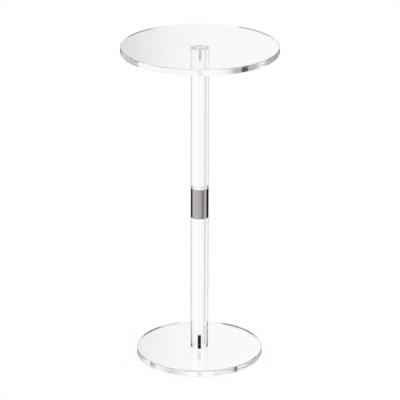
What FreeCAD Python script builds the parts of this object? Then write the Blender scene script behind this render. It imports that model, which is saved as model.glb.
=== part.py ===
import FreeCAD, Part
import math
import os

# Clear acrylic wine table: a round top and a round base on one slim column.
# The column is two polished rods with a chromed collar between them.
# Millimetres, +Z up, origin at the centre of the underside of the base.

# Driving dimensions
INCH = 25.4
TABLE_HEIGHT = 25 * INCH
TOP_DIAMETER = 12 * INCH
BASE_DIAMETER = 9.75 * INCH
PLATE_THICKNESS = 12.0
ROD_DIAMETER = 1.375 * INCH
COLLAR_LENGTH = 60.0

# Polished edge breaks
PLATE_EDGE_BREAK = 0.8
ROD_EDGE_BREAK = 0.5
COLLAR_EDGE_BREAK = 0.4

# Flat-head socket screws that hold the top and the base to the rods
SCREW_DIAMETER = 5.0
SCREW_LENGTH = 35.0
SCREW_HEAD_DIAMETER = 10.0
SCREW_HEAD_RIM = 0.3
SCREW_HEAD_ANGLE = 90.0
SCREW_HEAD_RECESS = 0.3
SCREW_TIP_BREAK = 0.6
SCREW_CLEARANCE_HOLE = 5.5
KEY_SOCKET_WIDTH = 3.0
KEY_SOCKET_DEPTH = 1.9

# Tapped holes, drawn as plain bores at the thread's outside diameter
THREAD_CLEARANCE = 0.1
TAPPED_HOLE_SPARE = 2.5
DRILL_POINT_ANGLE = 118.0

# Joiners inside the collar: a disc bonded to each rod, with a stud that screws into the collar
JOINER_DISC_DIAMETER = 1.0 * INCH
JOINER_DISC_THICKNESS = 4.0
JOINER_DISC_CLEARANCE = 0.2
JOINER_STUD_DIAMETER = 0.375 * INCH
JOINER_STUD_LENGTH = 22.0
JOINER_STUD_TIP_BREAK = 1.0

# Heights that follow from the driving dimensions
BASE_UPPER_FACE = PLATE_THICKNESS
TOP_UNDERSIDE = TABLE_HEIGHT - PLATE_THICKNESS
COLUMN_MIDDLE = (BASE_UPPER_FACE + TOP_UNDERSIDE) / 2
COLLAR_LOWER_END = COLUMN_MIDDLE - COLLAR_LENGTH / 2
COLLAR_UPPER_END = COLUMN_MIDDLE + COLLAR_LENGTH / 2

UPWARDS = 1
DOWNWARDS = -1

HEAD_SLOPE = math.tan(math.radians(SCREW_HEAD_ANGLE / 2))
DRILL_POINT_SLOPE = math.tan(math.radians(DRILL_POINT_ANGLE / 2))


def turned(outline, start=0.0, direction=UPWARDS):
    """Solid of revolution about Z from (radius, distance) points, measured from height start."""
    points = [FreeCAD.Vector(radius, 0, start + direction * distance) for radius, distance in outline]
    face = Part.Face(Part.makePolygon(points + points[:1]))
    solid = face.revolve(FreeCAD.Vector(0, 0, 0), FreeCAD.Vector(0, 0, 1), 360)
    if solid.Volume < 0:
        solid.reverse()
    return solid


def round_plate(diameter, outer_face, inwards):
    """Disc with broken edges and a countersunk screw hole in its outer face."""
    radius = diameter / 2
    hole = SCREW_CLEARANCE_HOLE / 2
    countersink = SCREW_HEAD_DIAMETER / 2 + (SCREW_HEAD_RECESS + SCREW_HEAD_RIM) * HEAD_SLOPE
    countersink_depth = (countersink - hole) / HEAD_SLOPE
    outline = [
        (countersink, 0),
        (radius - PLATE_EDGE_BREAK, 0),
        (radius, PLATE_EDGE_BREAK),
        (radius, PLATE_THICKNESS - PLATE_EDGE_BREAK),
        (radius - PLATE_EDGE_BREAK, PLATE_THICKNESS),
        (hole, PLATE_THICKNESS),
        (hole, countersink_depth),
    ]
    return turned(outline, outer_face, inwards)


def flat_head_screw(outer_face, inwards):
    """Countersunk screw with a six-sided key socket, set just below the plate's outer face."""
    head = SCREW_HEAD_DIAMETER / 2
    shank = SCREW_DIAMETER / 2
    head_depth = SCREW_HEAD_RIM + (head - shank) / HEAD_SLOPE
    outline = [
        (0, 0),
        (head, 0),
        (head, SCREW_HEAD_RIM),
        (shank, head_depth),
        (shank, SCREW_LENGTH - SCREW_TIP_BREAK),
        (shank - SCREW_TIP_BREAK, SCREW_LENGTH),
        (0, SCREW_LENGTH),
    ]
    head_face = outer_face + inwards * SCREW_HEAD_RECESS
    return turned(outline, head_face, inwards).cut(key_socket(head_face, inwards)).Solids[0]


def key_socket(head_face, inwards):
    """Six-sided recess for the key, with the shallow cone that a drill leaves at its bottom."""
    corner = KEY_SOCKET_WIDTH / math.sqrt(3)
    corners = []
    for side in range(7):
        angle = math.radians(60 * side)
        corners.append(FreeCAD.Vector(corner * math.cos(angle), corner * math.sin(angle), head_face))
    walls = Part.Face(Part.makePolygon(corners)).extrude(FreeCAD.Vector(0, 0, inwards * KEY_SOCKET_DEPTH))
    drilled = KEY_SOCKET_WIDTH / 2
    point = [(0, 0), (drilled, 0), (0, drilled / DRILL_POINT_SLOPE)]
    return walls.fuse(turned(point, head_face + inwards * KEY_SOCKET_DEPTH, inwards))


def column_rod(screwed_end, inwards):
    """Polished rod with a tapped blind hole in its screwed end and a flat end at the collar."""
    length = (TOP_UNDERSIDE - BASE_UPPER_FACE - COLLAR_LENGTH) / 2
    radius = ROD_DIAMETER / 2
    hole = (SCREW_DIAMETER + THREAD_CLEARANCE) / 2
    hole_depth = SCREW_HEAD_RECESS + SCREW_LENGTH - PLATE_THICKNESS + TAPPED_HOLE_SPARE
    outline = [
        (hole, 0),
        (radius - ROD_EDGE_BREAK, 0),
        (radius, ROD_EDGE_BREAK),
        (radius, length - ROD_EDGE_BREAK),
        (radius - ROD_EDGE_BREAK, length),
        (0, length),
        (0, hole_depth + hole / DRILL_POINT_SLOPE),
        (hole, hole_depth),
    ]
    return turned(outline, screwed_end, inwards)


def coupling_collar():
    """Chromed collar, flush with the rods, tapped through and counterbored for a joiner at each end."""
    radius = ROD_DIAMETER / 2
    thread = (JOINER_STUD_DIAMETER + THREAD_CLEARANCE) / 2
    counterbore = (JOINER_DISC_DIAMETER + JOINER_DISC_CLEARANCE) / 2
    outline = [
        (counterbore, 0),
        (radius - COLLAR_EDGE_BREAK, 0),
        (radius, COLLAR_EDGE_BREAK),
        (radius, COLLAR_LENGTH - COLLAR_EDGE_BREAK),
        (radius - COLLAR_EDGE_BREAK, COLLAR_LENGTH),
        (counterbore, COLLAR_LENGTH),
        (counterbore, COLLAR_LENGTH - JOINER_DISC_THICKNESS),
        (thread, COLLAR_LENGTH - JOINER_DISC_THICKNESS),
        (thread, JOINER_DISC_THICKNESS),
        (counterbore, JOINER_DISC_THICKNESS),
    ]
    return turned(outline, COLLAR_LOWER_END, UPWARDS)


def rod_joiner(rod_end, inwards):
    """Steel disc bonded to the flat end of a rod, with the stud that screws into the collar."""
    disc = JOINER_DISC_DIAMETER / 2
    stud = JOINER_STUD_DIAMETER / 2
    reach = JOINER_DISC_THICKNESS + JOINER_STUD_LENGTH
    outline = [
        (0, 0),
        (disc, 0),
        (disc, JOINER_DISC_THICKNESS),
        (stud, JOINER_DISC_THICKNESS),
        (stud, reach - JOINER_STUD_TIP_BREAK),
        (stud - JOINER_STUD_TIP_BREAK, reach),
        (0, reach),
    ]
    return turned(outline, rod_end, inwards)


pieces = {
    "table_top": round_plate(TOP_DIAMETER, TABLE_HEIGHT, DOWNWARDS),
    "top_screw": flat_head_screw(TABLE_HEIGHT, DOWNWARDS),
    "upper_rod": column_rod(TOP_UNDERSIDE, DOWNWARDS),
    "upper_joiner": rod_joiner(COLLAR_UPPER_END, DOWNWARDS),
    "collar": coupling_collar(),
    "lower_joiner": rod_joiner(COLLAR_LOWER_END, UPWARDS),
    "lower_rod": column_rod(BASE_UPPER_FACE, UPWARDS),
    "base_screw": flat_head_screw(0.0, UPWARDS),
    "base_plate": round_plate(BASE_DIAMETER, 0.0, UPWARDS),
}

os.makedirs("parts", exist_ok=True)
for name, shape in pieces.items():
    shape.exportStep(f"parts/{name}.step")
    print(f"{name}: {shape.ShapeType}, valid {shape.isValid()}, {shape.Volume / 1000:.2f} cubic centimetres")
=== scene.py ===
# %% [markdown]
# # A clear acrylic wine table
#
# The table is two clear discs on a slim clear column, with a chromed collar half way up.
# Clear plastic has no colour of its own: all that the eye sees is what its faces bend and
# mirror. So this lesson spends its care on three things: smooth closed meshes, honest films
# of air where two pieces touch, and a studio whose dark flags draw the edges.

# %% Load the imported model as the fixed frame
import math

import bmesh
import bpy
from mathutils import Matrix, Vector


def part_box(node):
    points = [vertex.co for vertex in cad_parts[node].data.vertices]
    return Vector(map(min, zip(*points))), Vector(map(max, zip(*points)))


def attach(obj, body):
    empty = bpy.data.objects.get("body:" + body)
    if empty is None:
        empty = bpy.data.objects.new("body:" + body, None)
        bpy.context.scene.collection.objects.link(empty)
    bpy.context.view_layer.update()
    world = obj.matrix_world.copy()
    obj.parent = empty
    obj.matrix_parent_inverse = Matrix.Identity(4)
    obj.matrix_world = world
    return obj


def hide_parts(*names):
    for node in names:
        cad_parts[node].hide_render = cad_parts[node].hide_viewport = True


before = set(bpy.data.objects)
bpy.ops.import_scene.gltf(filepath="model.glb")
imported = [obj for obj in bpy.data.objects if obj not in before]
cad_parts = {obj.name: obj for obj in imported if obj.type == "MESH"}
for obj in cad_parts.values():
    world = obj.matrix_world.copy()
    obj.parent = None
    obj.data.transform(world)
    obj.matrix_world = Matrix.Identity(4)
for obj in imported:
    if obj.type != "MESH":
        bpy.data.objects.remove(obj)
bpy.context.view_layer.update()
MM = 0.001

# %% [markdown]
# ## Modelling helpers
#
# Each piece starts as a primitive and is then shaped in edit mode, as by hand. An operator
# acts on whatever is selected, so every helper clears the selection first and then picks
# faces or edges by their place. Places within a hundredth of a millimetre count as the same.

# %% Helpers that start a piece, pick what the next operator works on, and finish the piece
SAME_PLACE = 0.01 * MM
WELD_DISTANCE = SAME_PLACE / 100
LEVEL = 0.99
SMOOTH_ANGLE = math.radians(10)


def start_cylinder(name, radius, lower, upper, sides):
    """Add a cylinder on the Z axis at its size and place, and open it for editing."""
    bpy.ops.object.select_all(action="DESELECT")
    middle = (lower + upper) / 2
    bpy.ops.mesh.primitive_cylinder_add(
        vertices=sides, radius=radius, depth=upper - lower, location=(0, 0, middle)
    )
    bpy.ops.object.transform_apply(location=True, rotation=True, scale=True)
    piece = bpy.context.object
    piece.name = name
    bpy.ops.object.mode_set(mode="EDIT")
    return piece


def pick_caps(piece, *heights, reach=math.inf):
    """Select the level faces at these heights that go no further out than the reach."""
    bpy.ops.mesh.select_mode(type="FACE")
    bpy.ops.mesh.select_all(action="DESELECT")
    mesh = bmesh.from_edit_mesh(piece.data)
    for face in mesh.faces:
        height = face.calc_center_median().z
        at_height = any(abs(height - wanted) < SAME_PLACE for wanted in heights)
        edge = max(math.hypot(corner.co.x, corner.co.y) for corner in face.verts)
        face.select_set(abs(face.normal.z) > LEVEL and at_height and edge < reach + SAME_PLACE)
    bmesh.update_edit_mesh(piece.data)


def pick_rings(piece, radius, *heights):
    """Select the edges that run round the Z axis at this radius and these heights."""
    bpy.ops.mesh.select_mode(type="EDGE")
    bpy.ops.mesh.select_all(action="DESELECT")
    mesh = bmesh.from_edit_mesh(piece.data)
    for edge in mesh.edges:
        ends = [vertex.co for vertex in edge.verts]
        on_ring = all(abs(math.hypot(end.x, end.y) - radius) < SAME_PLACE for end in ends)
        at_height = any(all(abs(end.z - wanted) < SAME_PLACE for end in ends) for wanted in heights)
        edge.select_set(on_ring and at_height)
    bmesh.update_edit_mesh(piece.data)


def push_cap(distance, scale=1.0):
    """Extrude the selected cap along Z, then draw its rim in or out about the axis."""
    bpy.ops.mesh.extrude_region_move(TRANSFORM_OT_translate={"value": (0, 0, distance)})
    bpy.ops.transform.resize(value=(scale, scale, 1), center_override=(0, 0, 0))


def finish_piece(piece):
    """Weld the mesh, turn its faces outwards, and shade its round walls smooth."""
    bpy.ops.mesh.select_all(action="SELECT")
    bpy.ops.mesh.remove_doubles(threshold=WELD_DISTANCE)
    bpy.ops.mesh.normals_make_consistent(inside=False)
    bpy.ops.object.mode_set(mode="OBJECT")
    bpy.ops.object.shade_smooth_by_angle(angle=SMOOTH_ANGLE)
    print(piece.name, "has", len(piece.data.polygons), "faces")
    return piece


print("same place:", SAME_PLACE / MM, "mm")

# %% [markdown]
# ## Top and base
#
# Both are discs cut from 12 mm cast sheet. The rim is polished clear, its two edges are
# broken so that they don't cut the hand, and one countersunk hole takes a screw. An outline
# spun round the axis would do, but a bevelled cylinder with its caps pushed in is quicker and
# just as exact. It needs many sides: the rim works as a lens, and a coarse one would show as
# flat facets in everything that is seen through it.

# %% Model the two plates
top_low, top_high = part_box("table_top")
base_low, base_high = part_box("base_plate")
screw_low, screw_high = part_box("top_screw")
RIM_SIDES = 512
PLATE_EDGE_BREAK = 0.8 * MM
PLATE_EDGE_STEPS = 3
CLEARANCE_HOLE = 5.5 * MM
SCREW_HEAD_RIM = 0.3 * MM
SCREW_RECESS = top_high.z - screw_high.z
HEAD_ANGLE = math.radians(90)
HEAD_SLOPE = math.tan(HEAD_ANGLE / 2)


def clear_plate(name, radius, lower, upper, screwed_face):
    """Round plate with broken edges and a countersunk through hole at its centre."""
    piece = start_cylinder(name, radius, lower, upper, RIM_SIDES)
    pick_rings(piece, radius, lower, upper)
    bpy.ops.mesh.bevel(offset=PLATE_EDGE_BREAK, segments=PLATE_EDGE_STEPS, affect="EDGES")
    plain_face = lower + upper - screwed_face
    inwards = math.copysign(1, plain_face - screwed_face)
    flat_radius = radius - PLATE_EDGE_BREAK
    countersink = screw_high.x + (SCREW_RECESS + SCREW_HEAD_RIM) * HEAD_SLOPE
    hole = CLEARANCE_HOLE / 2
    depth = (countersink - hole) / HEAD_SLOPE
    pick_caps(piece, screwed_face)
    bpy.ops.mesh.inset(thickness=flat_radius - countersink)
    push_cap(inwards * depth, hole / countersink)
    pick_caps(piece, plain_face)
    bpy.ops.mesh.inset(thickness=flat_radius - hole)
    hole_ends = (screwed_face + inwards * depth, plain_face)
    pick_caps(piece, *hole_ends, reach=hole)
    bpy.ops.mesh.delete(type="ONLY_FACE")
    pick_rings(piece, hole, *hole_ends)
    bpy.ops.mesh.bridge_edge_loops()
    return finish_piece(piece)


clear_top = clear_plate("clear_top", top_high.x, top_low.z, top_high.z, top_high.z)
clear_base = clear_plate("clear_base", base_high.x, base_low.z, base_high.z, base_low.z)

# %% [markdown]
# ## Rods
#
# The column is two equal lengths of polished rod. Each has a blind hole in one end for a
# screw, with the cone that the drill leaves at its bottom, and a flat polished end at the
# collar. One rod is modelled, and the other is a copy turned end over end.
#
# Two clear pieces that are only pressed together keep a film of air between them, and the
# film is what makes the joint show. Where the faces were shared, the rod would melt into the
# plate, so the rod stops a twentieth of a millimetre short at each end.

# %% Model the upper rod and copy it for the lower one
upper_low, upper_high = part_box("upper_rod")
lower_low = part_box("lower_rod")[0]
ROD_SIDES = 192
ROD_EDGE_BREAK = 0.5 * MM
EDGE_STEPS = 2
AIR_FILM = 0.05 * MM
SCREW_HOLE = 5.1 * MM
SCREW_HOLE_SPARE = 2.5 * MM
DRILL_POINT_ANGLE = math.radians(118)
DRILL_POINT_SLOPE = math.tan(DRILL_POINT_ANGLE / 2)


def column_rod(name, radius, lower, upper):
    """Rod with broken edges and a screw hole in its upper end."""
    piece = start_cylinder(name, radius, lower, upper, ROD_SIDES)
    pick_rings(piece, radius, lower, upper)
    bpy.ops.mesh.bevel(offset=ROD_EDGE_BREAK, segments=EDGE_STEPS, affect="EDGES")
    hole = SCREW_HOLE / 2
    pick_caps(piece, upper)
    bpy.ops.mesh.inset(thickness=radius - ROD_EDGE_BREAK - hole)
    push_cap(screw_low.z - SCREW_HOLE_SPARE - upper)
    push_cap(-hole / DRILL_POINT_SLOPE)
    bpy.ops.mesh.merge(type="CENTER")
    return finish_piece(piece)


def copy_turned(original, name, old_height, new_height):
    """Copy a piece, turn it end over end, and set the old height down at the new one."""
    bpy.ops.object.select_all(action="DESELECT")
    original.select_set(True)
    bpy.context.view_layer.objects.active = original
    bpy.ops.object.duplicate()
    piece = bpy.context.object
    piece.name = name
    piece.rotation_euler.x = math.pi
    piece.location.z = old_height + new_height
    bpy.ops.object.transform_apply(location=True, rotation=True, scale=True)
    print(name, "is a copy of", original.name)
    return piece


rod_end = upper_high.z - AIR_FILM
clear_upper_rod = column_rod("clear_upper_rod", upper_high.x, upper_low.z + AIR_FILM, rod_end)
clear_lower_rod = copy_turned(clear_upper_rod, "clear_lower_rod", upper_high.z, lower_low.z)

# %% [markdown]
# ## Collar
#
# A short bar of steel, turned flush with the rods and chromed. It is bored through for the
# joiners' studs and counterbored at each end for their discs. A plain cylinder would look the
# same until the column is taken apart, so the inside is modelled too.

# %% Model the collar
collar_low, collar_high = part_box("collar")
COLLAR_SIDES = 192
COLLAR_EDGE_BREAK = 0.4 * MM
COUNTERBORE = 25.6 * MM
COLLAR_BORE = 9.63 * MM
JOINER_DISC_THICKNESS = 4 * MM


def coupling_collar(name, radius, lower, upper):
    """Short bar with broken edges, a counterbore in each end and a bore right through."""
    piece = start_cylinder(name, radius, lower, upper, COLLAR_SIDES)
    pick_rings(piece, radius, lower, upper)
    bpy.ops.mesh.bevel(offset=COLLAR_EDGE_BREAK, segments=EDGE_STEPS, affect="EDGES")
    counterbore = COUNTERBORE / 2
    bore = COLLAR_BORE / 2
    floors = []
    for end, inwards in ((upper, -1), (lower, 1)):
        pick_caps(piece, end)
        bpy.ops.mesh.inset(thickness=radius - COLLAR_EDGE_BREAK - counterbore)
        push_cap(inwards * JOINER_DISC_THICKNESS)
        bpy.ops.mesh.inset(thickness=counterbore - bore)
        bpy.ops.mesh.delete(type="ONLY_FACE")
        floors.append(end + inwards * JOINER_DISC_THICKNESS)
    pick_rings(piece, bore, *floors)
    bpy.ops.mesh.bridge_edge_loops()
    return finish_piece(piece)


chromed_collar = coupling_collar("chromed_collar", collar_high.x, collar_low.z, collar_high.z)

# %% [markdown]
# ## Threads
#
# A thread is an outline one pitch high, turned and lifted by the Screw modifier. The outline
# is drawn by extruding one point four times: up and out along a flank, up the flat crest, up
# and in along the other flank, and up the wider flat root. The modifier leaves two ragged
# ends, so the thread is made a turn too long at each end and cut flat with bisect, which also
# fills the cut. Stacked rings would be lighter, but they don't climb as a thread does.

# %% Helpers that cut a thread and join two solids
THREAD_STEPS = 40
THREAD_DEPTH_SHARE = 0.54
THREAD_OUTLINE = [(1, 5 / 16), (0, 1 / 8), (-1, 5 / 16), (0, 1 / 4)]
SPARE_TURNS = 1.5
THREAD_WELD_DISTANCE = SAME_PLACE / 10


def threaded_bar(name, diameter, pitch, lower, upper):
    """Closed bar with a helical thread between two heights."""
    bpy.ops.object.select_all(action="DESELECT")
    depth = THREAD_DEPTH_SHARE * pitch
    root = diameter / 2 - depth
    bpy.ops.mesh.primitive_plane_add(size=pitch, location=(root, 0, lower - SPARE_TURNS * pitch))
    bpy.ops.object.transform_apply(location=True, rotation=True, scale=True)
    piece = bpy.context.object
    piece.name = name
    bpy.ops.object.mode_set(mode="EDIT")
    bpy.ops.mesh.select_mode(type="VERT")
    bpy.ops.mesh.select_all(action="SELECT")
    bpy.ops.mesh.merge(type="CENTER")
    for out, up in THREAD_OUTLINE:
        bpy.ops.mesh.extrude_vertices_move(TRANSFORM_OT_translate={"value": (out * depth, 0, up * pitch)})
    bpy.ops.object.mode_set(mode="OBJECT")
    turns = piece.modifiers.new("thread", "SCREW")
    turns.screw_offset = pitch
    turns.iterations = math.ceil((upper - lower) / pitch + 2 * SPARE_TURNS)
    turns.steps = THREAD_STEPS
    turns.render_steps = THREAD_STEPS
    turns.use_merge_vertices = True
    turns.merge_threshold = THREAD_WELD_DISTANCE
    bpy.ops.object.modifier_apply(modifier=turns.name)
    bpy.ops.object.mode_set(mode="EDIT")
    for height, outwards in ((lower, -1), (upper, 1)):
        bpy.ops.mesh.select_all(action="SELECT")
        bpy.ops.mesh.bisect(
            plane_co=(0, 0, height),
            plane_no=(0, 0, outwards),
            use_fill=True,
            clear_outer=True,
            threshold=WELD_DISTANCE,
        )
    return finish_piece(piece)


def join_by_boolean(piece, other, operation):
    """Apply a Boolean of the other piece to this one, and delete the other."""
    bpy.ops.object.select_all(action="DESELECT")
    piece.select_set(True)
    bpy.context.view_layer.objects.active = piece
    joint = piece.modifiers.new("join", "BOOLEAN")
    joint.object = other
    joint.operation = operation
    joint.solver = "EXACT"
    bpy.ops.object.modifier_apply(modifier=joint.name)
    bpy.data.objects.remove(other)
    bpy.ops.object.shade_smooth_by_angle(angle=SMOOTH_ANGLE)


print("thread outline:", len(THREAD_OUTLINE), "lines,", THREAD_STEPS, "steps to a turn")

# %% [markdown]
# ## Screws
#
# One countersunk M5 screw comes down through the top into the upper rod, and another comes up
# through the base into the lower rod. They differ only in finish, so one is modelled and the
# other is a copy turned over. The head is a short cylinder whose lower cap is pushed down to a
# cone and then to a neck. The neck is thinner than the thread's root, so that the thread
# overlaps it and the Boolean has no two faces in the same place.

# %% Model the top screw and copy it for the base
SCREW_DIAMETER = 5 * MM
SCREW_PITCH = 0.8 * MM
SCREW_SIDES = 96
NECK_RELIEF = 0.2 * MM
KEY_WIDTH = 3 * MM
KEY_DEPTH = 2.2 * MM
KEY_SIDES = 6


def flat_head_screw(name, head_radius, head_face, tip):
    """Countersunk socket screw that points down, with a film of air round it."""
    head = head_radius - AIR_FILM
    shank = SCREW_DIAMETER / 2 - AIR_FILM
    rim = head_face - SCREW_HEAD_RIM
    neck = shank - NECK_RELIEF
    cone = (head - neck) / HEAD_SLOPE
    piece = start_cylinder(name, head, rim, head_face, SCREW_SIDES)
    pick_caps(piece, rim)
    push_cap(-cone, neck / head)
    push_cap(-SCREW_PITCH)
    finish_piece(piece)
    thread_top = rim - cone - SCREW_PITCH / 2
    join_by_boolean(piece, threaded_bar("thread", 2 * shank, SCREW_PITCH, tip, thread_top), "UNION")
    corner = KEY_WIDTH / math.sqrt(3)
    socket = start_cylinder("socket", corner, head_face - KEY_DEPTH, head_face + KEY_DEPTH, KEY_SIDES)
    finish_piece(socket)
    join_by_boolean(piece, socket, "DIFFERENCE")
    return piece


steel_top_screw = flat_head_screw("steel_top_screw", screw_high.x, screw_high.z, screw_low.z)
black_base_screw = copy_turned(steel_top_screw, "black_base_screw", top_high.z, base_low.z)

# %% [markdown]
# ## Joiners
#
# Inside the collar, a steel disc is bonded to each rod's flat end, and its stud screws into
# the collar's bore. Seen from above, light that runs down inside the upper rod ends on this
# disc, so it is modelled even though the collar hides it from the side.

# %% Model the upper joiner and copy it for the lower one
joiner_low, joiner_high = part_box("upper_joiner")
STUD_DIAMETER = 9.53 * MM
STUD_PITCH = 1.59 * MM


def rod_joiner(name, disc_radius, disc_face, tip):
    """Bonding disc with a threaded stud that points down."""
    underside = disc_face - JOINER_DISC_THICKNESS
    piece = start_cylinder(name, disc_radius, underside, disc_face, SCREW_SIDES)
    pick_rings(piece, disc_radius, underside, disc_face)
    bpy.ops.mesh.bevel(offset=COLLAR_EDGE_BREAK, segments=EDGE_STEPS, affect="EDGES")
    finish_piece(piece)
    stud = threaded_bar("stud", STUD_DIAMETER, STUD_PITCH, tip, underside + STUD_PITCH / 2)
    join_by_boolean(piece, stud, "UNION")
    return piece


steel_upper_joiner = rod_joiner("steel_upper_joiner", joiner_high.x, joiner_high.z, joiner_low.z)
steel_lower_joiner = copy_turned(steel_upper_joiner, "steel_lower_joiner", collar_high.z, collar_low.z)

# %% [markdown]
# ## Materials
#
# Colours are written as sRGB hex, as a colour picker shows them, and one function turns them
# to the linear values that shaders use. No real finish is even: in each material one noise,
# stretched to the size of the marks that its making leaves, moves the colour, the roughness
# and the relief together. The noise lives in object space, in real millimetres, so it needs
# no unwrapping and keeps its scale on every piece. A Mix node has sockets for numbers, vectors
# and colours, all with the same names, so its colour sockets are taken by their places.

# %% Helpers for materials
NOISE_LOW = 0.35
NOISE_HIGH = 0.65
NOISE_DETAIL = 3.0
MIX_FROM = 6
MIX_TO = 7
MIX_RESULT = 2


def linear(hex_colour):
    """Linear RGBA from an sRGB hex colour such as #8f8d8a."""
    colour = []
    for place in (1, 3, 5):
        share = int(hex_colour[place : place + 2], 16) / 255
        colour.append(share / 12.92 if share <= 0.04045 else ((share + 0.055) / 1.055) ** 2.4)
    return colour + [1]


def add_node(tree, kind, inputs=None, links=None, stops=None, **settings):
    """Add a node, give it its settings, fixed inputs and ramp stops, and link its other inputs."""
    node = tree.nodes.new(kind)
    for name, value in settings.items():
        setattr(node, name, value)
    for name, value in (inputs or {}).items():
        node.inputs[name].default_value = value
    for name, socket in (links or {}).items():
        tree.links.new(socket, node.inputs[name])
    for index, (place, colour) in enumerate(stops or []):
        if index > 1:
            node.color_ramp.elements.new(place)
        node.color_ramp.elements[index].position = place
        node.color_ramp.elements[index].color = colour
    return node


def new_material(name):
    """Empty node material and its tree."""
    material = bpy.data.materials.new(name)
    material.use_nodes = True
    material.node_tree.nodes.clear()
    return material, material.node_tree


def uneven_finish(tree, mark_size, colours, roughnesses, relief=None):
    """Colour, roughness and relief that wander together over marks of a real size."""
    place = add_node(tree, "ShaderNodeTexCoord").outputs["Object"]
    scale = [1 / length for length in mark_size]
    marks = add_node(tree, "ShaderNodeMapping", {"Scale": scale}, {"Vector": place}).outputs[0]
    fineness = {"Scale": 1.0, "Detail": NOISE_DETAIL}
    noise = add_node(tree, "ShaderNodeTexNoise", fineness, {"Vector": marks}).outputs[0]
    stops = [(NOISE_LOW, linear(colours[0])), (NOISE_HIGH, linear(colours[1]))]
    smoothest, roughest = roughnesses
    span = {"From Min": NOISE_LOW, "From Max": NOISE_HIGH, "To Min": smoothest, "To Max": roughest}
    finish = {
        "Base Color": add_node(tree, "ShaderNodeValToRGB", links={0: noise}, stops=stops).outputs[0],
        "Roughness": add_node(tree, "ShaderNodeMapRange", span, {"Value": noise}).outputs[0],
    }
    if relief:
        bump = add_node(tree, "ShaderNodeBump", {"Distance": relief}, {"Height": noise})
        finish["Normal"] = bump.outputs[0]
    return finish


print("white is", linear("#ffffff"))

# %% [markdown]
# ## Polished acrylic
#
# The sheet and the rods are cast acrylic, which passes light with hardly any tint and bends it
# by its refractive index, 1.49. Wiping leaves long faint hairlines that dull the gloss here and
# there. Their relief is too small to bend light, so this finish has none: any more would blur
# the view through the plate.

# %% Make the polished acrylic, which gives the eye its clear faces and bright rims
ACRYLIC_INDEX = 1.49
acrylic, tree = new_material("polished_acrylic")
hairline_size = (60 * MM, 1.5 * MM, 1.5 * MM)
wiped = uneven_finish(tree, hairline_size, ("#fefefe", "#ffffff"), (0.0, 0.004))
clear = {"IOR": ACRYLIC_INDEX, "Transmission Weight": 1.0}
shader = add_node(tree, "ShaderNodeBsdfPrincipled", clear, wiped)
add_node(tree, "ShaderNodeOutputMaterial", links={"Surface": shader.outputs[0]})
print("made", acrylic.name, "with index", ACRYLIC_INDEX)

# %% [markdown]
# ## Drilled acrylic
#
# The walls of the screw holes are drilled and never polished. The drill leaves rings about
# 0.3 mm apart, and they scatter so much light that the wall looks frosty white. A rough glass
# would let the screw show through as a dark bar, which a drilled hole doesn't, so the wall is
# a white surface under the same plastic gloss.

# %% Make the drilled acrylic, which gives the eye the pale mark in the middle of each plate
drilled, tree = new_material("drilled_acrylic")
drill_mark_size = (3 * MM, 3 * MM, 0.3 * MM)
rings = uneven_finish(tree, drill_mark_size, ("#f1f3f3", "#fafbfb"), (0.5, 0.7), 0.03 * MM)
shader = add_node(tree, "ShaderNodeBsdfPrincipled", {"IOR": ACRYLIC_INDEX}, rings)
add_node(tree, "ShaderNodeOutputMaterial", links={"Surface": shader.outputs[0]})
print("made", drilled.name)

# %% [markdown]
# ## Chrome plate
#
# Bright chrome over turned steel. Buffing draws fine rings round the collar, here 0.2 mm apart
# and a thousandth of a millimetre deep. The two ends are made darker: the colour is mixed
# towards grey by how far a face points along the column.

# %% Make the chrome, which gives the eye the bright and dark stripes of the collar
chrome, tree = new_material("chrome_plate")
ring_size = (4 * MM, 4 * MM, 0.2 * MM)
buffed = uneven_finish(tree, ring_size, ("#f0e9ef", "#f4eef3"), (0.015, 0.045), 0.001 * MM)
facing = add_node(tree, "ShaderNodeTexCoord").outputs["Normal"]
along = add_node(tree, "ShaderNodeSeparateXYZ", links={0: facing}).outputs["Z"]
end_share = add_node(tree, "ShaderNodeMath", links={0: along}, operation="ABSOLUTE").outputs[0]
# The two ends are mixed towards a darker grey by how far a face points along the column.
darker_end_grey = {MIX_TO: linear("#666467")}
wall_or_end = {"Factor": end_share, MIX_FROM: buffed["Base Color"]}
ends_darkened = add_node(tree, "ShaderNodeMix", darker_end_grey, wall_or_end, data_type="RGBA")
buffed["Base Color"] = ends_darkened.outputs[MIX_RESULT]
shader = add_node(tree, "ShaderNodeBsdfPrincipled", {"Metallic": 1.0}, buffed)
add_node(tree, "ShaderNodeOutputMaterial", links={"Surface": shader.outputs[0]})
print("made", chrome.name)

# %% [markdown]
# ## Stainless steel
#
# The top screw is plain stainless. Rolling the thread leaves it a soft streaky grey. The face
# of the head gets a painted highlight: it is the only part that points up, so the colour is
# mixed towards white by the upward share of the normal, as if lit from above.

# %% Make the stainless steel, which gives the eye the grey stem and the painted highlight on the head
stainless, tree = new_material("stainless_steel")
streak_size = (1.5 * MM, 1.5 * MM, 0.4 * MM)
rolled = uneven_finish(tree, streak_size, ("#bcbbb9", "#d4d3d1"), (0.2, 0.34), 0.004 * MM)
facing = add_node(tree, "ShaderNodeTexCoord").outputs["Normal"]
upwards = add_node(tree, "ShaderNodeSeparateXYZ", links={0: facing}).outputs["Z"]
# Painted highlight: faces that point up, such as the face of the head, are mixed towards white.
painted_top_light = {MIX_TO: linear("#f6f6f6")}
stem_or_face = {"Factor": upwards, MIX_FROM: rolled["Base Color"]}
top_light_painted = add_node(tree, "ShaderNodeMix", painted_top_light, stem_or_face, data_type="RGBA")
rolled["Base Color"] = top_light_painted.outputs[MIX_RESULT]
shader = add_node(tree, "ShaderNodeBsdfPrincipled", {"Metallic": 1.0}, rolled)
add_node(tree, "ShaderNodeOutputMaterial", links={"Surface": shader.outputs[0]})
print("made", stainless.name)

# %% [markdown]
# ## Black oxide
#
# The base screw has an oiled black oxide skin. The oxide is a crust, not bare metal, so it is
# a rough dark surface that sends back nearly no light, with patches about 2 mm across where
# the oil has gathered.

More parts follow.
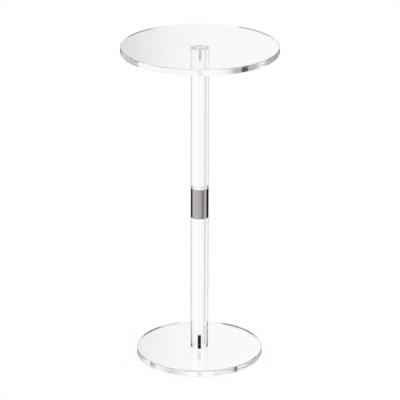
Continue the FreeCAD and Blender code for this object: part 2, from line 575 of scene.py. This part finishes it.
# %% Make the black oxide, which gives the eye the black bar in the foot of the column
black, tree = new_material("black_oxide")
patch_size = (2 * MM, 2 * MM, 2 * MM)
oiled = uneven_finish(tree, patch_size, ("#030303", "#0b0b0c"), (0.45, 0.65), 0.005 * MM)
shader = add_node(tree, "ShaderNodeBsdfPrincipled", {"Specular IOR Level": 0.05}, oiled)
add_node(tree, "ShaderNodeOutputMaterial", links={"Surface": shader.outputs[0]})
print("made", black.name)

# %% [markdown]
# ## Zinc plate
#
# The joiners are zinc plated, a pale metal with the cloudy patches, about 4 mm across, that
# the plating bath leaves.

# %% Make the zinc plate, which gives the eye the light grey deep in the upper rod
zinc, tree = new_material("zinc_plate")
cloud_size = (4 * MM, 4 * MM, 4 * MM)
clouded = uneven_finish(tree, cloud_size, ("#e6e8ec", "#f2f4f6"), (0.42, 0.56), 0.01 * MM)
shader = add_node(tree, "ShaderNodeBsdfPrincipled", {"Metallic": 1.0}, clouded)
add_node(tree, "ShaderNodeOutputMaterial", links={"Surface": shader.outputs[0]})
print("made", zinc.name)

# %% [markdown]
# ## Dressing
#
# Each piece takes its material, rides on the table's one body and stands for its CAD node, and
# the table lists the slot that its finish belongs to. The plates take a second material on the
# walls of their screw holes, which are the only faces near the axis that aren't level.

# %% Dress the pieces
dressing = [
    (clear_top, "table_top", acrylic, "clear_acrylic"),
    (clear_base, "base_plate", acrylic, "clear_acrylic"),
    (clear_upper_rod, "upper_rod", acrylic, "clear_acrylic"),
    (clear_lower_rod, "lower_rod", acrylic, "clear_acrylic"),
    (chromed_collar, "collar", chrome, "chromed_steel"),
    (steel_top_screw, "top_screw", stainless, "stainless_steel"),
    (black_base_screw, "base_screw", black, "black_oxide_steel"),
    (steel_upper_joiner, "upper_joiner", zinc, "zinc_plated_steel"),
    (steel_lower_joiner, "lower_joiner", zinc, "zinc_plated_steel"),
]
for piece, node, material, slot in dressing:
    piece.data.materials.clear()
    piece.data.materials.append(material)
    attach(piece, "root")
    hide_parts(node)
HOLE_MARGIN = 1 * MM
HOLE_REACH = screw_high.x + HOLE_MARGIN
for plate in (clear_top, clear_base):
    plate.data.materials.append(drilled)
    for face in plate.data.polygons:
        near_axis = math.hypot(face.center.x, face.center.y) < HOLE_REACH
        if near_axis and abs(face.normal.z) < LEVEL:
            face.material_index = 1
print("dressed", len(dressing), "pieces")

# %% [markdown]
# ## Studio floor
#
# The ground is plain white paper, which keeps the table's soft shadow. It is hidden from
# mirrored and refracted rays, because the clear base stands on it and would otherwise show
# its own shadow as a grey disc.

# %% Lay the floor
FLOOR_SIZE = 40.0
FLOOR_DROP = 0.2 * MM
bpy.ops.object.select_all(action="DESELECT")
bpy.ops.mesh.primitive_plane_add(size=FLOOR_SIZE, location=(0, 0, -FLOOR_DROP))
floor = bpy.context.object
floor.name = "floor"
floor.visible_glossy = False
floor.visible_transmission = False
paper, tree = new_material("white_paper")
shader = add_node(tree, "ShaderNodeBsdfDiffuse", {"Color": linear("#ffffff")})
add_node(tree, "ShaderNodeOutputMaterial", links={"Surface": shader.outputs[0]})
floor.data.materials.append(paper)
print("floor:", FLOOR_SIZE, "m wide")

# %% [markdown]
# ## Studio walls
#
# Clear plastic in a room that is white all round would vanish. A photographer stands dark
# flags round it, and each polished edge then shows a line of them. Cards in the scene would
# do it too, but one card falls on many edges at once. Here the world plays the room: it is
# white for the camera and the floor, and for the rest it has several sets of walls, chosen by
# what the table has done to the ray.
#
# A ray that a piece only bent saw the room straight through, which is nearly white. One that
# a face turned back inside shows the far rims when it leaves downwards, and what is overhead
# when it leaves upwards. One turned three times or more was guided along a plate to its rim,
# and the rims that face the back of the room have softer flags of their own. A ray that
# bounced off the outside is mirrored. How steeply a ray leaves tells the top from the base,
# because the camera looks down on the base more steeply. Steeper still is the foot of the
# column, where a dark shade keeps the black screw black inside its clear rod. The shade ends
# past the foot, so that the column's mirror image in the base stays faint.

# %% Measure each ray: its compass direction, its slope and what the table has done to it
world = bpy.data.worlds.new("studio")
bpy.context.scene.world = world
world.use_nodes = True
tree = world.node_tree
tree.nodes.clear()
direction = add_node(tree, "ShaderNodeTexCoord")
parts = add_node(tree, "ShaderNodeSeparateXYZ", links={0: direction.outputs["Generated"]})
rise = parts.outputs["Z"]
sideways_and_away = {0: parts.outputs["X"], 1: parts.outputs["Y"]}
azimuth = add_node(tree, "ShaderNodeMath", links=sideways_and_away, operation="ARCTAN2").outputs[0]
slope = add_node(tree, "ShaderNodeMath", links={0: rise}, operation="ABSOLUTE").outputs[0]
path = add_node(tree, "ShaderNodeLightPath")
turns = path.outputs["Glossy Depth"]
crossings = path.outputs["Transmission Depth"]
print("ray nodes:", len(tree.nodes))

# %% [markdown]
# The tones are shares of white against the compass, 0 straight behind the table and positive
# to the right. A ramp has few steps to the degree, so each set of walls spans only the
# directions that it needs and keeps its end tone beyond them.

# %% Paint the walls and flags, in degrees and shares of white
ROUND = math.radians(180)
BEHIND = math.radians(80)
MIDDLE = math.radians(3)
FRONT = math.radians(100)
wall_tones = {
    "straight": (BEHIND, [
        (-80, 1), (-76, 0.94), (-60, 0.94), (-56, 1), (-37, 1), (-33.5, 0.97), (-32.5, 0.58), (-27, 0.58),
        (-26, 0.84), (-20, 0.93), (-12, 0.98), (-5, 1), (-2.8, 0.965), (2.8, 0.965), (5, 1), (50, 1),
        (54, 0.86), (76, 0.86), (80, 1),
    ]),
    "beyond_base": (BEHIND, [
        (-80, 0.4), (-52, 0.4), (-43, 0.95), (-33.5, 0.9), (-32.5, 0.5), (-27, 0.5), (-26, 0.78),
        (-20, 0.85), (-12, 0.93), (-6, 0.97), (44, 0.97), (54, 0.42), (80, 0.42),
    ]),
    "far_top_rim": (ROUND, [
        (-180, 1), (-128, 0.95), (-123.5, 0.85), (-119, 0.12), (-60, 0.2), (-44, 0.6), (-38, 1), (36, 1),
        (46, 0.5), (56, 0.04), (100, 0.03), (106, 0.5), (118, 0.75), (126, 0.95), (132, 1), (180, 1),
    ]),
    "far_base_rim": (ROUND, [
        (-180, 1), (-148, 1), (-142, 0.85), (-137, 0.65), (-133, 0.25), (-128, 0.1), (-60, 0.12), (-44, 0.6),
        (-38, 1), (36, 1), (46, 0.5), (56, 0.06), (97, 0.05), (103, 0.45), (112, 0.68), (126, 0.72),
        (134, 0.62), (139, 0.75), (145, 1), (180, 1),
    ]),
    "foot_shade": (ROUND, [
        (-180, 0.02), (-115, 0.02), (-60, 0.12), (-44, 0.6), (-38, 1), (36, 1), (46, 0.5), (56, 0.06),
        (97, 0.05), (103, 0.02), (180, 0.02),
    ]),
    "foot_sides": (ROUND, [
        (-180, 0.02), (-173, 0.02), (-170, 1), (-160, 1), (-157, 0.02), (-115, 0.02), (-60, 0.12),
        (-52, 0.6), (-44, 0.95), (-38, 1), (36, 1), (46, 0.9), (52, 0.5), (58, 0.06), (97, 0.05),
        (103, 0.02), (157, 0.02), (160, 1), (170, 1), (173, 0.02), (180, 0.02),
    ]),
    "rod_end": (BEHIND, [
        (-80, 0.6), (-66, 0.3), (-50, 0.35), (-44, 0.5), (-40, 0.85), (-34, 0.85), (-32, 0.62), (-27, 0.62),
        (-25, 0.75), (-15, 0.82), (-5, 0.87), (-2, 0.94), (10, 0.94), (28, 0.93), (36, 0.82), (42, 0.75),
        (48, 0.4), (68, 0.3), (80, 0.6),
    ]),
    "overhead": (MIDDLE, [
        (-3, 0.6), (-2.4, 0.25), (-1.6, 0.36), (-1.4, 0.52), (-1.15, 0.6), (-0.75, 0.78), (0.4, 0.9),
        (2.9, 0.95), (3, 0.6),
    ]),
    "top_rim": (BEHIND, [
        (-80, 1), (-72, 0.6), (-68, 0.38), (-52, 0.5), (-47, 0.5), (-44, 0.68), (-41.3, 0.92), (-38.7, 1),
        (-36.5, 0.82), (-34.3, 0.6), (-32.2, 0.48), (-30, 0.43), (-26.6, 0.44), (-26.3, 0.06), (-22.3, 0.06),
        (-22, 0.44), (-18, 0.5), (-14, 0.87), (-9, 1), (12, 0.96), (39, 1), (39.6, 0.48), (55, 0.7),
        (60.5, 0.66), (62.5, 0.82), (66, 0.92), (80, 1),
    ]),
    "base_rim": (BEHIND, [
        (-80, 0.8), (-60, 0.68), (-50, 0.6), (-42, 0.66), (-38.5, 0.74), (-36.5, 0.86), (-29.4, 0.84),
        (-28.4, 0.16), (-26.4, 0.16), (-25.5, 0.66), (-20, 0.88), (-16, 0.9), (-12.5, 0.85), (-10.5, 0.84),
        (-9, 0.95), (-7.5, 1), (5, 1), (20, 0.69), (34.2, 1), (34.8, 0.7), (37.5, 0.57), (40, 0.45),
        (42.6, 0.43), (43.4, 1), (49, 1), (65, 0.75), (80, 0.75),
    ]),
    "back_rim": (ROUND, [
        (-180, 0.85), (-165, 0.5), (-150, 0.45), (-140, 0.8), (-125, 0.5), (-110, 0.6), (-100, 0.9),
        (100, 0.9), (110, 0.6), (125, 0.5), (140, 0.8), (150, 0.45), (165, 0.5), (180, 0.85),
    ]),
    "edge_line": (ROUND, [
        (-180, 1), (-130, 1), (-122, 0.5), (30, 0.5), (42, 0.95), (180, 1),
    ]),
    "paper_light": (ROUND, [(-180, 0.97), (180, 0.97)]),
    "mirrored": (ROUND, [
        (-180, 0.46), (-165, 0.5), (-150, 0.51), (-100, 0.55), (-88, 0.58), (-84, 0.55), (-70, 0.07),
        (-60, 0.02), (72, 0.015), (78, 0.1), (86, 0.28), (93, 0.52), (101, 0.6), (109, 0.57),
        (116, 0.35), (126, 0.22), (137, 0.21), (146, 0.25), (156, 0.37), (168, 0.42), (180, 0.46),
    ]),
}
walls = {}
for name, (reach, tones) in wall_tones.items():
    span = {"From Min": -reach, "From Max": reach}
    place = add_node(tree, "ShaderNodeMapRange", span, {"Value": azimuth}).outputs[0]
    stops = []
    for degrees, share in tones:
        stops.append((math.radians(degrees) / reach / 2 + 0.5, (share, share, share, 1)))
    walls[name] = add_node(tree, "ShaderNodeValToRGB", links={0: place}, stops=stops).outputs[0]
print("walls and flags:", ", ".join(walls))

# %% [markdown]
# Each test below is 1 or 0 for a ray. A slope is the sine of the ray's angle from level, and
# the slopes here are those at which the camera sees the collar, the base and the foot. Each
# choice then makes one tone of two others: it takes the last where the test is 1. Later
# choices build on earlier ones, so that the list reads from the rare case to the common one.

# %% Choose the tone of each ray
COLLAR_SLOPE = 0.345
COLLAR_SLOPE_RANGE = 0.02
BASE_SLOPE = 0.36
FOOT_SLOPE = 0.3985
PAST_FOOT_SLOPE = 0.4055
EDGE_SLOPE = 0.5
LEVEL_SLOPE = 0.0
STRAIGHT_BEHIND = 0.0
OVER_NONE = 0.5
OVER_TWO = 2.5
tests = {"mirror": path.outputs["Is Glossy Ray"], "through": path.outputs["Is Transmission Ray"]}
ranges = [
    ("in_front", azimuth, STRAIGHT_BEHIND, FRONT),
    ("in_middle", azimuth, STRAIGHT_BEHIND, MIDDLE),
    ("at_collar", slope, COLLAR_SLOPE, COLLAR_SLOPE_RANGE),
]
for name, value, centre, reach in ranges:
    near = add_node(tree, "ShaderNodeMath", {1: centre, 2: reach}, {0: value}, operation="COMPARE")
    tests[name] = near.outputs[0]
limits = [
    ("upwards", rise, LEVEL_SLOPE),
    ("at_base", slope, BASE_SLOPE),
    ("at_foot", slope, FOOT_SLOPE),
    ("past_foot", slope, PAST_FOOT_SLOPE),
    ("off_edge", slope, EDGE_SLOPE),
    ("turned", turns, OVER_NONE),
    ("guided", turns, OVER_TWO),
    ("crossed", crossings, OVER_NONE),
    ("crossed_more", crossings, OVER_TWO),
    ("from_floor", path.outputs["Diffuse Depth"], OVER_NONE),
]
for name, value, limit in limits:
    over = add_node(tree, "ShaderNodeMath", {1: limit}, {0: value}, operation="GREATER_THAN")
    tests[name] = over.outputs[0]
choices = [
    ("beside", "at_base", "straight", "rod_end"),
    ("beside", "at_foot", "beside", "foot_shade"),
    ("beside", "past_foot", "beside", "straight"),
    ("above_plate", "in_middle", "beside", "overhead"),
    ("turned_up", "at_collar", "above_plate", "rod_end"),
    ("far_rim", "at_base", "far_top_rim", "far_base_rim"),
    ("far_rim", "at_foot", "far_rim", "foot_shade"),
    ("turned_twice", "at_foot", "straight", "foot_sides"),
    ("turned", "upwards", "far_rim", "turned_up"),
    ("turned", "crossed_more", "turned", "turned_twice"),
    ("rim", "at_base", "top_rim", "base_rim"),
    ("rim", "in_front", "back_rim", "rim"),
    ("rim", "off_edge", "rim", "edge_line"),
    ("rim", "crossed_more", "rim", "paper_light"),
    ("through_two", "at_base", "straight", "beyond_base"),
    ("straight", "crossed_more", "straight", "through_two"),
    ("seen_through", "turned", "straight", "turned"),
    ("seen_through", "guided", "seen_through", "rim"),
    ("seen_through", "from_floor", "seen_through", "paper_light"),
    ("mirrored_up", "crossed", "overhead", "foot_shade"),
    ("mirrored", "upwards", "mirrored", "mirrored_up"),
    ("mirrored", "from_floor", "mirrored", "paper_light"),
]
for name, test, otherwise, chosen in choices:
    sockets = {"Factor": tests[test], MIX_FROM: walls[otherwise], MIX_TO: walls[chosen]}
    mixed = add_node(tree, "ShaderNodeMix", links=sockets, data_type="RGBA")
    walls[name] = mixed.outputs[MIX_RESULT]
white = {MIX_FROM: linear("#ffffff")}
sockets = {"Factor": tests["mirror"], MIX_TO: walls["mirrored"]}
mixed = add_node(tree, "ShaderNodeMix", white, sockets, data_type="RGBA")
sockets = {
    "Factor": tests["through"],
    MIX_FROM: mixed.outputs[MIX_RESULT],
    MIX_TO: walls["seen_through"],
}
mixed = add_node(tree, "ShaderNodeMix", links=sockets, data_type="RGBA")
tone = mixed.outputs[MIX_RESULT]
background = add_node(tree, "ShaderNodeBackground", {"Strength": 1.0}, {"Color": tone})
add_node(tree, "ShaderNodeOutputWorld", links={"Surface": background.outputs[0]})
print("choices:", len(choices) + 2)

# %% [markdown]
# ## Camera
#
# The photo was taken with a long lens from about 4.9 m, looking down by 20 degrees, as the
# two discs' ellipses show. A ray may turn many times inside a rod before it leaves, so the
# scene allows more bounces than usual. The glossy filter is off, because it would roughen the
# plastic for the light that reaches the floor through it, and darken the table's shadow.

# %% Place the camera
CAMERA_PLACE = (0.00068, -4.50475, 2.00266)
LOOKING_DOWN = math.radians(20.467)
CAMERA_PITCH = math.radians(90) - LOOKING_DOWN
CAMERA_ROLL = math.radians(0.13)
SENSOR_WIDTH = 36.0
FOCAL_LENGTH_IN_PIXELS = 2464.3
IMAGE_WIDTH_IN_PIXELS = 400
BOUNCES = 64
lens = bpy.data.cameras.new("camera")
lens.sensor_width = SENSOR_WIDTH
lens.lens = SENSOR_WIDTH * FOCAL_LENGTH_IN_PIXELS / IMAGE_WIDTH_IN_PIXELS
camera = bpy.data.objects.new("camera", lens)
camera.location = CAMERA_PLACE
camera.rotation_euler = (CAMERA_PITCH, 0, 0)
camera.rotation_euler.rotate_axis("Z", CAMERA_ROLL)
scene = bpy.context.scene
scene.collection.objects.link(camera)
scene.camera = camera
scene.view_settings.view_transform = "Standard"
scene.cycles.blur_glossy = 0.0
scene.cycles.max_bounces = BOUNCES
scene.cycles.transmission_bounces = BOUNCES
scene.cycles.glossy_bounces = BOUNCES
print("lens:", round(lens.lens, 1), "mm")
